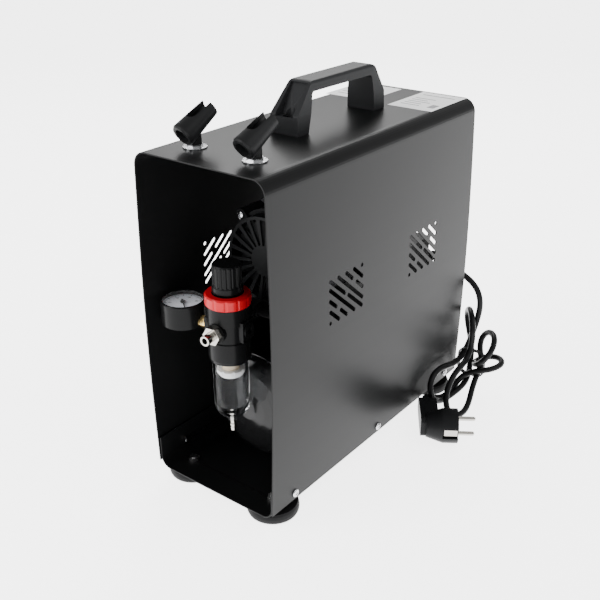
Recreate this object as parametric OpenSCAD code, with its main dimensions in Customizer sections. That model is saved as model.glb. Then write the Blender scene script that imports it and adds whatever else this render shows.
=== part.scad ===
// Airbrush compressor: tank-type piston compressor in an open sheet-steel housing.
// Millimetres, +Z up, origin on the floor under the middle of the housing, open front towards -Y.

/* [Housing] */
// Outer width of the housing at its corners
box_w = 150; // [149:0.5:152]
// Depth of the housing, front edge to rear edge
box_d = 349; // [348:0.5:352]
// Height of the housing above the feet
box_h = 335; // [334:0.5:338]
// Cover sheet thickness
sheet_t = 1.2; // [1:0.1:1.4]
// Radius of the bends at the cover's top corners
corner_r = 14; // [12:0.5:16]
// How far each side wall bows out at mid height
bulge = 3.4; // [3:0.1:4]
// Height of the rubber feet
foot_h = 12; // [12:0.5:13]
// Width of one vent slot
slot_w = 4; // [3:0.2:4.4]

/* [Handle] */
// Rise of the handle above the cover
handle_h = 46; // [44:0.5:50]
// Width of the handle's feet
handle_w = 33; // [30:0.5:35]

/* [Regulator] */
// Distance of the regulator's axis behind the middle of the housing (negative is towards the front)
reg_y = -140; // [-140:0.5:-138]
// Turn of the regulator about its own axis, degrees
reg_turn = 7; // [5:0.5:8]
// Outside radius of the clear bowl
bowl_r = 17.3; // [17:0.1:17.4]
// Outside radius of the gauge case
gauge_r = 21.5; // [21:0.1:21.8]
// Radius of the outlet's male thread (G 1/8)
outlet_r = 4.86; // [4.8:0.02:4.9]

/* [Tank and pump] */
// Radius of the tank
tank_r = 55; // [54:0.5:55]
// Height of the motor's axis above the floor
axis_z = 231.5; // [230:0.5:232]
// Crank throw, half of the piston's stroke
crank_e = 6; // [5:0.5:6]
// Length of the connecting rod between its eyes
rod_l = 42; // [41:0.5:42]
// Bore radius of the cylinder
bore_r = 19; // [18.9:0.05:19.1]
// Number of slots in the fan guard
guard_slots = 20; // [16:1:22]

/* [Mains cord] */
// Diameter of the mains cord
cord_d = 7; // [6.5:0.1:7.5]

/* [Hidden] */
$fn = 48;

zb = foot_h;                     // underside of the base tray
zt = zb + box_h;                 // top of the cover
cov_z0 = zb + 7;                 // lower edge of the cover's side walls
tray_t = 1.5;                    // base tray sheet
floor_z = zb + tray_t;           // top of the tray's floor
tank_z = 81;                     // tank axis
screw_y = [-140.5, 3.5, 147.5];        // side screws
screw_z = zb + 14.3;
foot_x = 53;
foot_y = 147;
holder_x = [-36, 33];
holder_y = -137;
handle_y0 = -57;
handle_y1 = 86;
handle_screw_y = [-49.5, 77.5];
vent_y = [-64, 74];
vent_z = 210;
reg_x = -2;
port_z = 184;                    // height of the regulator's ports
gauge_z = 179.5;                 // height of the gauge's port
gauge_l = 53;                    // gauge axis from the regulator's axis
pump_y = 40;                     // cylinder axis
rel_top = rod_l + 19.5 + crank_e + 5.5; // cylinder top above the motor's axis

// One half of a vent's slots; the other half is its half-turn. End points of each slot, from the vent's centre.
slots = [[[25, 21], [25.4, 20.6]], [[10.5, 22.5], [27, 8]], [[-2, 22.5], [10.5, 11.5]],
  [[15, 8], [27.5, -3]], [[-14.5, 22.5], [27.5, -14]], [[-27, 22.5], [-1.5, 0.8]]];

function unit(v) = v / norm(v);
function corner(a, p, b, r, n) = r == 0 ? [p] :
  let (u = unit(a - p), v = unit(b - p), h = acos(u * v) / 2, o = p + unit(u + v) * r / sin(h),
       s = p + u * r / tan(h), e = p + v * r / tan(h))
  [for (i = [0:n]) o + unit((s - o) * (1 - i / n) + (e - o) * i / n) * r];
function rounded(P, R, n = 5) =
  [for (i = [0:len(P) - 1]) each corner(P[(i + len(P) - 1) % len(P)], P[i], P[(i + 1) % len(P)], R[i], n)];
function reverse(P) = [for (i = [len(P) - 1:-1:0]) P[i]];

// Sweep of a round cord along points: rings of n sides, each square to the path.
function path_dir(P, i) = unit(P[min(i + 1, len(P) - 1)] - P[max(i - 1, 0)]);
function side_of(d) = unit(cross(d, abs(d[2]) > 0.9 ? [1, 0, 0] : [0, 0, 1]));
function ring(c, d, r, n) = let (u = side_of(d), v = cross(d, u))
  [for (k = [0:n - 1]) c + r * cos(360 * k / n) * u + r * sin(360 * k / n) * v];
function bez(P, t) = let (a = P[0], b = P[1], c = P[2], d = P[3])
  0.5 * (2 * b + (c - a) * t + (2 * a - 5 * b + 4 * c - d) * t * t + (3 * b - a - 3 * c + d) * t * t * t);
function smooth(P, n) = concat([for (i = [0:len(P) - 2], k = [0:n - 1])
  bez([P[max(i - 1, 0)], P[i], P[i + 1], P[min(i + 2, len(P) - 1)]], k / n)], [P[len(P) - 1]]);
module tube(P, r, n = 8) {
  m = len(P);
  pts = [for (i = [0:m - 1]) each ring(P[i], path_dir(P, i), r, n)];
  faces = concat([[for (k = [0:n - 1]) k]],
    [for (i = [0:m - 2], k = [0:n - 1]) [i * n + k, (i + 1) * n + k, (i + 1) * n + (k + 1) % n, i * n + (k + 1) % n]],
    [[for (k = [n - 1:-1:0]) (m - 1) * n + k]]);
  polyhedron(points = pts, faces = faces, convexity = 8);
}

module along_y(l) rotate([-90, 0, 0]) translate([0, 0, 0]) children();
module ycyl(r, y0, y1) translate([0, y0, 0]) rotate([-90, 0, 0]) cylinder(r = r, h = y1 - y0);
module ycone(r0, r1, y0, y1) translate([0, y0, 0]) rotate([-90, 0, 0]) cylinder(r1 = r0, r2 = r1, h = y1 - y0);
module xcyl(r, x0, x1) translate([x0, 0, 0]) rotate([0, 90, 0]) cylinder(r = r, h = x1 - x0);
module hex(af, h, bore = 0) difference() {
  cylinder(r = af / 2 / cos(30), h = h, $fn = 6);
  if (bore > 0) translate([0, 0, -1]) cylinder(r = bore, h = h + 2);
}
// Pan head screw: head above z = 0, shank below.
module pan_screw(l, r, hr, hh) {
  difference() {
    rotate_extrude() polygon(concat([[0, 0], [hr, 0], [hr, hh * 0.35]],
      [for (i = [1:5]) [hr * cos(18 * i), hh * (0.35 + 0.65 * sin(18 * i))]]));
    for (a = [0, 90]) rotate([0, 0, a]) translate([-hr * 0.5, -hr * 0.09, hh * 0.5]) cube([hr, hr * 0.18, hh]);
  }
  translate([0, 0, -l]) cylinder(r = r, h = l);
}
module at_motor() translate([0, 0, axis_z]) children();

// ---- Housing ----
function side_x(z, t) = box_w / 2 - t + bulge * sin(180 * (z - cov_z0) / (zt - corner_r - cov_z0));
function cover_half(t) = concat(
  [for (i = [0:14]) let (z = cov_z0 + (zt - corner_r - cov_z0) * i / 14) [side_x(z, t), z]],
  [for (j = [1:10]) let (a = 9 * j) [box_w / 2 - corner_r + (corner_r - t) * cos(a), zt - corner_r + (corner_r - t) * sin(a)]]);
function mirrored(P) = [for (p = reverse(P)) [-p[0], p[1]]];

module slot2d(a, b) {
  d = unit(b - a);
  r = slot_w / 2;
  l = max(norm(b - a) - 2 * r, 0.2);
  translate((a + b) / 2) rotate(atan2(d[1], d[0])) {
    square([l, 2 * r], center = true);
    for (s = [-1, 1]) translate([s * l / 2, 0]) circle(r = r, $fn = 24);
  }
}
module vent(side) for (y = vent_y) translate([side * (box_w / 2 - 4), y, vent_z]) rotate([90, 0, 90 * side])
  linear_extrude(height = 12) for (s = slots, k = [-1, 1]) slot2d(s[0] * k, s[1] * k);

module cover() color([0.09, 0.09, 0.095]) difference() {
  rotate([90, 0, 0]) linear_extrude(height = box_d, center = true) polygon(concat(
    cover_half(0), mirrored(cover_half(0)), reverse(mirrored(cover_half(sheet_t))), reverse(cover_half(sheet_t))));
  vent(1);
  vent(-1);
  for (y = screw_y, s = [-1, 1]) translate([s * 70, y, screw_z]) rotate([0, 90 * s, 0]) cylinder(r = 2.1, h = 12);
  for (x = holder_x) translate([x, holder_y, zt - 5]) cylinder(r = 4.1, h = 10);
  for (y = handle_screw_y) translate([0, y, zt - 5]) cylinder(r = 3.1, h = 10);
}

module base_tray() color([0.08, 0.08, 0.085]) difference() {
  w = box_w / 2 - sheet_t - 0.1;
  out = rounded([[w, zb + 34], [w, zb], [-w, zb], [-w, zb + 34]], [0, 12, 12, 0], 8);
  in = rounded([[w - tray_t, zb + 34], [w - tray_t, zb + tray_t], [-w + tray_t, zb + tray_t], [-w + tray_t, zb + 34]], [0, 10.5, 10.5, 0], 8);
  rotate([90, 0, 0]) linear_extrude(height = box_d - 2, center = true) polygon(concat(out, reverse(in)));
  for (x = [-foot_x, foot_x], y = [-foot_y, foot_y]) translate([x, y, zb - 2]) cylinder(r = 3.05, h = 6);
  for (x = [-34, 34], y = [-68, 102]) translate([x, y, zb - 2]) cylinder(r = 3.05, h = 6);
  for (y = screw_y, s = [-1, 1]) translate([s * 66, y, screw_z]) rotate([0, 90 * s, 0]) cylinder(r = 2.05, h = 12);
  translate([0, 20, zb - 2]) cylinder(r = 13, h = 6);
}

// Pan head screws, all alike: cover to tray, fan guard, crankcase cover.
module pan_screws() color([0.75, 0.75, 0.76]) {
  for (y = screw_y, s = [-1, 1]) translate([s * (side_x(screw_z, 0) + 0.12), y, screw_z]) rotate([0, 90 * s, 0]) {
    pan_screw(7, 2, 4.2, 2.4);
    translate([0, 0, -6.5]) hex(7, 3.2, 2);
  }
  at_motor() for (a = [45:90:359]) rotate([0, a, 0]) translate([51, -80, 0]) rotate([90, 0, 0]) pan_screw(10, 2, 4.2, 2.4);
  at_motor() for (x = [-40.5, 40.5], z = [-42.5, 34.5]) translate([x, 69, z]) rotate([-90, 0, 0]) pan_screw(10, 2, 4.2, 2.4);
}

module feet() color([0.05, 0.05, 0.05]) for (x = [-foot_x, foot_x], y = [-foot_y, foot_y]) translate([x, y, 0])
  difference() {
    rotate_extrude() polygon([[0, 0], [22.5, 0], [24.6, 1.4], [25.7, 3.8], [26, 6.5], [25.6, foot_h - 2.5], [24.5, foot_h], [0, foot_h]]);
    translate([0, 0, -1]) cylinder(r = 9, h = 6);
    cylinder(r = 3.05, h = foot_h + 1);
  }

// Hexagon bolts and nuts, all M6: feet, tank feet, pump feet.
module hex_bolts() color([0.72, 0.72, 0.74]) {
  for (x = [-foot_x, foot_x], y = [-foot_y, foot_y]) translate([x, y, 0]) {
    translate([0, 0, 1]) hex(10, 4);
    translate([0, 0, 4]) cylinder(r = 3, h = floor_z - 0.6);
    translate([0, 0, floor_z]) hex(10, 3, 3);
  }
  for (x = [-34, 34], y = [-68, 102]) translate([x, y, 0]) {
    translate([0, 0, floor_z + 2.5]) hex(10, 4);
    translate([0, 0, 5.5]) cylinder(r = 3, h = 12);
    translate([0, 0, zb - 5]) hex(10, 5, 3);
  }
  for (x = [-50, 50], y = [-63, 40]) translate([x, y, 0]) {
    translate([0, 0, axis_z - 50]) hex(10, 4);
    translate([0, 0, axis_z - 76.5]) cylinder(r = 3, h = 28);
    translate([0, 0, axis_z - 75]) hex(10, 5, 3);
  }
}

module handle() color([0.16, 0.17, 0.18]) difference() {
  h = handle_h;
  intersection() {
    translate([0, 0, zt]) rotate([90, 0, 90]) linear_extrude(height = handle_w + 4, center = true) polygon(rounded(
      [[handle_y0, 0], [handle_y0, 18], [handle_y0 + 26, h], [handle_y1 - 14, h], [handle_y1, 18], [handle_y1, 0],
       [handle_y1 - 18, 0], [handle_y1 - 20, h - 10], [handle_y0 + 25.5, h - 9.5], [handle_y0 + 16, 0]],
      [0, 4, 9, 9, 4, 0, 0, 4, 4, 0], 6));
    translate([0, 20, zt]) rotate([90, 0, 0]) linear_extrude(height = 220, center = true) polygon(rounded(
      [[-handle_w / 2, 0], [-handle_w / 2 + 0.6, 18], [-12.5, h], [12.5, h], [handle_w / 2 - 0.6, 18], [handle_w / 2, 0]],
      [0, 3, 3.5, 3.5, 3, 0], 5));
  }
  // channel in the outer face of each leg
  translate([0, 0, zt]) rotate([90, 0, 90]) linear_extrude(height = 20, center = true) polygon(
    [[handle_y0 - 5, 16], [handle_y0 + 9.5, 16], [handle_y0 + 10.5, 19], [handle_y0 + 26, 43], [handle_y0 + 20.5, 44.5], [handle_y0 - 5, 20]]);
  translate([0, 0, zt]) rotate([90, 0, 90]) linear_extrude(height = 20, center = true) polygon(
    [[handle_y1 + 5, 16], [handle_y1 - 9.5, 16], [handle_y1 - 10.5, 19], [handle_y1 - 14.5, 43], [handle_y1 - 9, 44.5], [handle_y1 + 5, 20]]);
  for (y = handle_screw_y) translate([0, y, zt]) {
    translate([0, 0, -1]) cylinder(r = 3.1, h = 20);
    translate([0, 0, 9]) cylinder(r = 5.6, h = 30);
  }
}

module handle_screws() color([0.3, 0.3, 0.32]) for (y = handle_screw_y) translate([0, y, zt]) {
  difference() {
    union() {
      translate([0, 0, 9]) cylinder(r = 5, h = 6);
      translate([0, 0, -9]) cylinder(r = 3, h = 19);
    }
    translate([0, 0, 12]) cylinder(r = 2.9, h = 4, $fn = 6);
  }
  translate([0, 0, -sheet_t - 5]) hex(10, 5, 3);
}

// ---- Airbrush holders ----
module holder_nuts() color([0.8, 0.8, 0.82]) for (x = holder_x) translate([x, holder_y, zt]) {
  difference() {
    cylinder(r = 11, h = 1.4);
    translate([0, 0, -1]) cylinder(r = 4, h = 4);
    for (a = [0:30:359]) rotate([0, 0, a]) translate([11.6, 0, -1]) cylinder(r = 1.3, h = 4, $fn = 16);
  }
  translate([0, 0, 1.4]) hex(13, 2.2, 4);
  translate([0, 0, -sheet_t - 5]) hex(13, 5, 4);
  translate([0, 0, -9]) cylinder(r = 4, h = 18.5);
}
module holder(x) translate([x, holder_y, zt]) difference() {
  union() {
    translate([0, 0, 3.9]) cylinder(r1 = 6.4, r2 = 5.8, h = 15);
    translate([0, 0, 21]) rotate([0, 0, -8]) rotate([-58, 0, 0]) {
      translate([0, 0, -16]) cylinder(r1 = 9.9, r2 = 11.2, h = 2);
      translate([0, 0, -14]) cylinder(r1 = 11.2, r2 = 8.4, h = 36);
    }
  }
  translate([0, 0, 3]) cylinder(r = 4.08, h = 6.9);
  translate([0, 0, 21]) rotate([0, 0, -8]) rotate([-58, 0, 0]) {
    translate([0, 0, -17]) cylinder(r = 7, h = 40);
    translate([-5.4, -14, 3.5]) cube([10.8, 14, 30]);
    translate([0, -14, 3.5]) rotate([-90, 0, 0]) cylinder(r = 5.4, h = 14);
  }
}
module holder_left() color([0.12, 0.12, 0.13]) holder(holder_x[0]);
module holder_right() color([0.12, 0.12, 0.13]) holder(holder_x[1]);

module labels() color([0.93, 0.93, 0.93]) {
  translate([13, 98, zt]) cube([52, 73, 0.15]);
  translate([-69, 102, zt]) cube([56, 66, 0.15]);
}

// ---- Tank ----
function dome(r, h, y, s) = [for (i = [0:8]) [r * cos(11.25 * i), y + s * h * sin(11.25 * i)]];
module tank_solid(r, y0, y1, h) rotate([-90, 0, 0]) rotate_extrude($fn = 72) polygon(concat(
  [[0, y0 - h]], reverse([for (i = [0:8]) if (i < 8) [r * cos(11.25 * i), y0 - h * sin(11.25 * i)]]),
  [for (i = [0:8]) if (i < 8) [r * cos(11.25 * i), y1 + h * sin(11.25 * i)]], [[0, y1 + h]]));
module tank() color([0.03, 0.03, 0.035]) translate([0, 0, tank_z]) difference() {
  union() {
    tank_solid(tank_r, -103, 132, 18);
    ycyl(tank_r + 1, -105, -97);
    ycyl(tank_r + 1, 126, 134);
    translate([28, -88, 38]) cylinder(r = 9, h = 17);
    for (p = [[-20, 112], [18, 122]]) translate([p[0], p[1], 45]) cylinder(r = 9, h = 10);
    translate([0, 20, -58]) cylinder(r = 9, h = 8);
  }
  tank_solid(tank_r - 2, -103, 132, 16);
  translate([28, -88, 35]) cylinder(r = 4.8, h = 25);
  for (p = [[-20, 112], [18, 122]]) translate([p[0], p[1], 35]) cylinder(r = 4.8, h = 25);
  translate([0, 20, -60]) cylinder(r = 4.1, h = 14);
}

module tank_feet() color([0.06, 0.06, 0.065]) for (y = [-75, 95]) difference() {
  union() {
    translate([-48, y - 3, floor_z]) cube([96, 18, 2.5]);
    translate([0, y, 0]) rotate([90, 0, 0]) linear_extrude(height = 3, center = true)
      polygon([[-46, floor_z], [46, floor_z], [46, floor_z + 12], [38, floor_z + 34], [-38, floor_z + 34], [-46, floor_z + 12]]);
  }
  translate([0, 0, tank_z]) ycyl(tank_r, y - 10, y + 20);
  for (x = [-34, 34]) translate([x, y + 7, floor_z - 1]) cylinder(r = 3.05, h = 5);
}

module tank_drain() color([0.72, 0.55, 0.25]) translate([0, 20, 0]) {
  translate([0, 0, 15]) cylinder(r = 4, h = 16);
  difference() {
    translate([0, 0, 8]) cylinder(r = 9, h = 7);
    for (a = [0:30:359]) rotate([0, 0, a]) translate([9.6, 0, 7]) cylinder(r = 1.2, h = 9, $fn = 16);
  }
}

// ---- Pump ----
module pump_bracket() color([0.07, 0.07, 0.075]) difference() {
  union() {
    translate([-60, -75, axis_z - 70]) cube([120, 130, 2]);
    translate([10, 54, axis_z - 70]) cube([54, 66, 2]);
    for (x = [-43, 41]) translate([x, -70, 105]) cube([2, 120, axis_z - 70 - 105]);
  }
  translate([0, 0, tank_z]) ycyl(tank_r, -90, 90);
  for (x = [-50, 50], y = [-63, 40]) translate([x, y, axis_z - 72]) cylinder(r = 3.05, h = 6);
}
module isolators() color([0.05, 0.05, 0.05]) for (x = [-50, 50], y = [-63, 40]) translate([x, y, axis_z - 68])
  difference() {
    rotate_extrude() polygon([[0, 0], [8.5, 0], [8.5, 2], [7, 4], [7, 8], [8.5, 10], [8.5, 12], [0, 12]]);
    translate([0, 0, -1]) cylinder(r = 3.05, h = 14);
  }

module foot_pair(y0, y1) for (s = [-1, 1]) {
  translate([s > 0 ? 30 : -58, y0, -56]) cube([28, y1 - y0, 6]);
  translate([s > 0 ? 30 : -42, y0, -56]) cube([12, y1 - y0, 22]);
}
module end_bell() color([0.10, 0.10, 0.105]) at_motor() difference() {
  union() {
    difference() {
      ycyl(48, -76, -50);
      ycyl(45, -73, -49);
    }
    ycyl(16, -75, -62);
    for (a = [45:90:359]) rotate([0, a, 0]) translate([51, 0, 0]) ycyl(6, -77, -50);
    foot_pair(-72, -54);
  }
  ycyl(13, -72, -61);
  ycyl(6.5, -80, -49);
  for (a = [0:60:359]) rotate([0, a, 0]) translate([20, -80, -5]) cube([20, 10, 10]);
  for (a = [45:90:359]) rotate([0, a, 0]) translate([51, 0, 0]) ycyl(2, -79, -60);
  for (x = [-50, 50]) translate([x, -63, -60]) cylinder(r = 3.05, h = 12);
}
module bearings() color([0.7, 0.7, 0.72]) at_motor() for (y = [-72, 9]) difference() {
  ycyl(13, y, y + 8);
  ycyl(5.05, y - 1, y + 9);
  difference() {
    ycyl(11, y + 7, y + 9);
    ycyl(7.5, y + 6, y + 10);
  }
}
module stator() color([0.45, 0.46, 0.48]) at_motor() difference() {
  union() {
    intersection() {
      translate([-45, -50, -45]) cube([90, 45, 90]);
      ycyl(56, -50, -5);
    }
    ycyl(40, -58, -50);
    ycyl(40, -5, 3);
  }
  ycyl(24.5, -60, 10);
  for (y = [-60, -5]) difference() {
    ycyl(27, y, y + 10);
    ycyl(24, y - 1, y + 11);
  }
}
module crankcase() color([0.10, 0.10, 0.105]) at_motor() difference() {
  union() {
    difference() {
      ycyl(48, -5, 10);
      ycyl(45, -6, 8.5);
    }
    translate([-44, 8, -46]) cube([88, 58, 84]);
    foot_pair(30, 50);
  }
  ycyl(13, 7, 17);
  ycyl(6.5, 16, 30);
  translate([-37, 22, -39]) cube([74, 46, 72]);
  translate([0, pump_y, 20]) cylinder(r = bore_r + 1.2, h = 30);
  for (x = [-40.5, 40.5], z = [-42.5, 34.5]) translate([x, 0, z]) ycyl(2, 58, 70);
  for (x = [-50, 50]) translate([x, 40, -60]) cylinder(r = 3.05, h = 12);
  for (x = [-22.5, 22.5], y = [-22.5, 22.5]) translate([x, pump_y + y, 34.5]) cylinder(r = 2.5, h = 12);
}
module crankcase_cover() color([0.13, 0.13, 0.135]) at_motor() difference() {
  union() {
    translate([-44, 66, -46]) cube([88, 3, 84]);
    translate([-36.6, 62, -38.6]) cube([73.2, 4, 71.2]);
    ycyl(20, 69, 72);
    for (a = [0:45:359]) rotate([0, a, 0]) translate([10, 69, -1]) cube([22, 2, 2]);
  }
  ycyl(15, 70.5, 76);
  for (x = [-40.5, 40.5], z = [-42.5, 34.5]) translate([x, 0, z]) ycyl(2.05, 65, 74);
}
module cylinder_node() color([0.55, 0.56, 0.57]) at_motor() translate([0, pump_y, 0]) difference() {
  union() {
    translate([-29, -29, 38]) cube([58, 58, 4]);
    translate([0, 0, 38]) cylinder(r = bore_r + 3.5, h = rel_top - 38);
    for (z = [46:5.2:rel_top - 6]) translate([-29, -29, z]) cube([58, 58, 2]);
    translate([-29, -29, rel_top - 4]) cube([58, 58, 4]);
  }
  cylinder(r = bore_r, h = 120);
  for (x = [-22.5, 22.5], y = [-22.5, 22.5]) translate([x, y, 30]) cylinder(r = 2.6, h = 60);
}
module cylinder_head() color([0.5, 0.51, 0.52]) at_motor() translate([0, pump_y, rel_top]) difference() {
  union() {
    translate([-29, -29, 0]) cube([58, 58, 8]);
    for (x = [-28:7:28]) translate([x - 1, -29, 8]) cube([2, 58, 9]);
    translate([-12, -29, 8]) cube([24, 58, 7]);
    for (s = [-1, 1]) translate([s > 0 ? 10 : -30, -9, 0]) cube([20, 18, 15]);
  }
  for (x = [-22.5, 22.5], y = [-22.5, 22.5]) translate([x, y, -1]) cylinder(r = 2.6, h = 30);
  for (x = [-22.5, 22.5], y = [-22.5, 22.5]) translate([x, y, 8]) cylinder(r = 6, h = 30);
  translate([0, 0, -1]) cylinder(r = 15, h = 5);
  translate([0, 0, 7.5]) xcyl(4.8, -31, -18);
  translate([0, 0, 7.5]) xcyl(4.8, 18, 31);
}
module head_bolts() color([0.7, 0.7, 0.72]) at_motor() translate([0, pump_y, rel_top])
  for (x = [-22.5, 22.5], y = [-22.5, 22.5]) translate([x, y, 0]) {
    translate([0, 0, 8]) hex(8, 4);
    translate([0, 0, 35 - rel_top]) cylinder(r = 2.5, h = rel_top - 27);
  }
module intake_filter() color([0.08, 0.08, 0.08]) translate([0, pump_y, axis_z + rel_top + 7.5]) {
  xcyl(4.8, 19, 30);
  xcyl(7, 30, 34);
  difference() {
    xcyl(13, 34, 56);
    for (a = [0:30:359]) rotate([a, 0, 0]) translate([38, 10.5, -1]) cube([14, 5, 2]);
  }
}
module fan_guard() color([0.12, 0.12, 0.125]) at_motor() difference() {
  union() {
    difference() {
      ycyl(44, -90, -76);
      ycyl(41.8, -87.8, -75);
    }
    for (a = [45:90:359]) rotate([0, a, 0]) {
      translate([51, 0, 0]) ycyl(6, -80, -77);
      translate([42, -80, -6]) cube([9, 3, 12]);
    }
  }
  for (k = [0:guard_slots - 1]) rotate([0, 360 * k / guard_slots, 0]) translate([0, -80, 0]) rotate([90, 0, 0])
    linear_extrude(height = 14) polygon([[15.5, -1.3], [40.3, -4.1], [41, -3.2], [41, 3.2], [40.3, 4.1], [15.5, 1.3]]);
  for (a = [45:90:359]) rotate([0, a, 0]) translate([51, 0, 0]) ycyl(2.1, -84, -70);
  for (a = [45:90:359]) rotate([0, a, 0]) translate([46, -95, -7]) cube([4, 5, 14]);
}

// ---- Moving parts of the pump ----
module motor_shaft() color([0.75, 0.75, 0.77]) at_motor() {
  ycyl(5, -86, 26);
  difference() {
    ycyl(15, 26, 33);
    for (s = [-1, 1]) translate([s * 11.5 - 5, 25, 3]) cube([10, 10, 14]);
  }
  translate([0, 0, crank_e]) {
    ycyl(4, 33, 46.2);
    ycyl(6.5, 46.2, 47.8);
  }
}
module rotor() color([0.5, 0.5, 0.52]) at_motor() difference() {
  union() {
    ycyl(24, -49, -6);
    ycyl(22, -52, -3);
  }
  ycyl(5, -60, 10);
}
module fan() color([0.15, 0.15, 0.16]) at_motor() difference() {
  union() {
    ycyl(11, -86, -78);
    intersection() {
      for (a = [0:360 / 7:359]) rotate([0, a, 0]) translate([9, -82, 0]) rotate([35, 0, 0]) translate([0, -0.7, -6.5]) cube([29, 1.4, 13]);
      ycyl(38, -86.3, -77.6);
    }
  }
  ycyl(5, -90, -70);
}
module conrod() color([0.6, 0.61, 0.62]) at_motor() translate([0, 0, crank_e]) difference() {
  union() {
    ycyl(9, 34, 45.7);
    translate([-3.5, 37, 0]) cube([7, 6, rod_l]);
    translate([0, 0, rod_l]) ycyl(7, 35, 45);
    translate([0, 0, rod_l]) ycyl(3.5, 33, 47);
  }
  ycyl(4.05, 30, 50);
}
module piston() color([0.66, 0.67, 0.68]) at_motor() translate([0, pump_y, rod_l + 23.5 + crank_e]) difference() {
  translate([0, 0, -28]) cylinder(r = bore_r - 0.05, h = 28);
  translate([0, 0, -30]) cylinder(r = bore_r - 2.6, h = 26);
  for (z = [-3.8, -7.4]) translate([0, 0, z]) difference() {
    cylinder(r = bore_r + 1, h = 1.2);
    translate([0, 0, -1]) cylinder(r = bore_r - 0.9, h = 4);
  }
}

// ---- Air line ----
hose_route = [[-33, 40, 311.5], [-44, 40, 311.5], [-54, 42, 306], [-60, 50, 292], [-61, 62, 270], [-60, 76, 245],
  [-54, 90, 220], [-44, 102, 196], [-30, 110, 176], [-21, 112, 162], [-20, 112, 152]];
feed_route = [[3, -100.3, 184], [16, -100, 184], [24.5, -97, 179], [28.5, -92, 168], [28.3, -89, 156], [28, -88, 146]];
module air_hoses() color([0.07, 0.07, 0.07]) {
  tube(smooth(hose_route, 2), 4.5, 10);
  tube(smooth(feed_route, 2), 4.5, 10);
}
module check_valve() color([0.75, 0.6, 0.3]) {
  translate([-20, 112, 0]) {
    translate([0, 0, 126]) cylinder(r = 4.8, h = 10);
    translate([0, 0, 136]) hex(16, 9);
    translate([0, 0, 145]) cylinder(r = 5.6, h = 7);
  }
  translate([0, pump_y, axis_z + rel_top + 7.5]) {
    xcyl(4.8, -30, -19);
    translate([-33, 0, 0]) rotate([0, 90, 0]) hex(12, 3);
  }
}
module at_riser() translate([-6.9, -100.3, 0]) children();
// Push-in fittings of the hose that feeds the regulator.
module air_fittings() color([0.07, 0.07, 0.075]) {
  at_riser() translate([-7, -7, 176]) cube([14, 14, 16]);
  at_riser() translate([0, 0, 184]) xcyl(6, 7, 9.9);
  translate([reg_x, reg_y, port_z]) rotate([0, 0, reg_turn]) {
    ycyl(4.8, 16, 40);
    translate([0, 23, 0]) rotate([-90, 0, 0]) hex(13, 7);
  }
  translate([28, -88, 0]) {
    translate([0, 0, 127]) cylinder(r = 4.8, h = 10);
    translate([0, 0, 136]) hex(14, 7);
    translate([0, 0, 142]) cylinder(r = 6, h = 4);
  }
}
module at_tee() translate([18, 122, 0]) children();
module pressure_switch() color([0.1, 0.1, 0.1]) at_tee() {
  translate([0, 0, 126]) cylinder(r = 4.8, h = 10);
  translate([0, 0, 136]) hex(14, 5);
  translate([-7, -7, 140]) cube([14, 14, 19]);
  translate([0, 0, 152]) ycyl(13, 7, 30);
  translate([0, 0, 152]) ycyl(9, 30, 33);
}
module safety_valve() color([0.78, 0.62, 0.32]) at_tee() translate([0, 0, 152]) difference() {
  union() {
    xcyl(4, -12, -7);
    translate([-18, 0, 0]) rotate([0, 90, 0]) hex(10, 6);
    xcyl(4.6, -26, -18);
  }
  xcyl(1.6, -28, -13);
}
module safety_ring() color([0.8, 0.8, 0.82]) at_tee() translate([0, 0, 152]) {
  xcyl(1.5, -29, -14);
  translate([-33.6, 0, 0]) rotate([90, 0, 0]) rotate_extrude() translate([5.2, 0]) circle(r = 0.9, $fn = 16);
}

// ---- Electrics ----
module switch_box() color([0.08, 0.08, 0.085]) difference() {
  translate([16, 74, axis_z - 68]) cube([46, 42, 44]);
  difference() {
    translate([18, 76, axis_z - 66]) cube([42, 38, 40]);
    for (x = [26, 49.6]) translate([x, 106, 187]) cube([2.4, 10, 10]);
  }
  translate([28.4, 110, 183]) cube([21.2, 10, 18]);
  translate([0, 111, 192]) xcyl(1.56, 26.5, 51.5);
  translate([52, 0, 173]) ycyl(5, 110, 120);
}
module rocker() color([0.25, 0.02, 0.02]) translate([39, 111, 192]) {
  rotate([90, 0, 90]) linear_extrude(height = 20, center = true)
    polygon([[-3, -4], [0, -6.4], [6, -6.9], [6.6, -2.5], [7.4, 2], [9.3, 6.6], [2, 6.4], [-3, 4]]);
  xcyl(1.5, -12, 12);
}
module cord_gland() color([0.06, 0.06, 0.06]) translate([52, 0, 173]) difference() {
  union() {
    ycyl(4.95, 113, 116);
    ycyl(7.5, 116, 119);
    ycone(6.3, 4.6, 119, 146);
    for (y = [123:5:141]) ycyl(6.4 - (y - 119) * 0.045, y, y + 2);
  }
  ycyl(cord_d / 2, 112, 147);
}
cord_route = [[52, 132, 173], [52, 146, 173], [52, 156, 171], [52.3, 165, 165.5], [53.8, 173, 157], [57, 180, 148], [62.5, 185, 141],
  [71, 187, 137.3], [82, 187, 134], [90.5, 186.5, 126], [95.5, 186, 114.5], [96, 185.5, 101], [93.5, 185, 88], [91, 184, 75]];
plug_o = [139, 64.5, 20];
plug_a = 34;
plug_route = [[86.2, 89.2, 20], [82.8, 94.2, 20], [81.8, 98, 19.5], [82.5, 104, 18]];
module cord_tube() color([0.05, 0.05, 0.05]) {
  tube(smooth(cord_route, 2), cord_d / 2, 8);
  tube(plug_route, cord_d / 2, 8);
}
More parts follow.
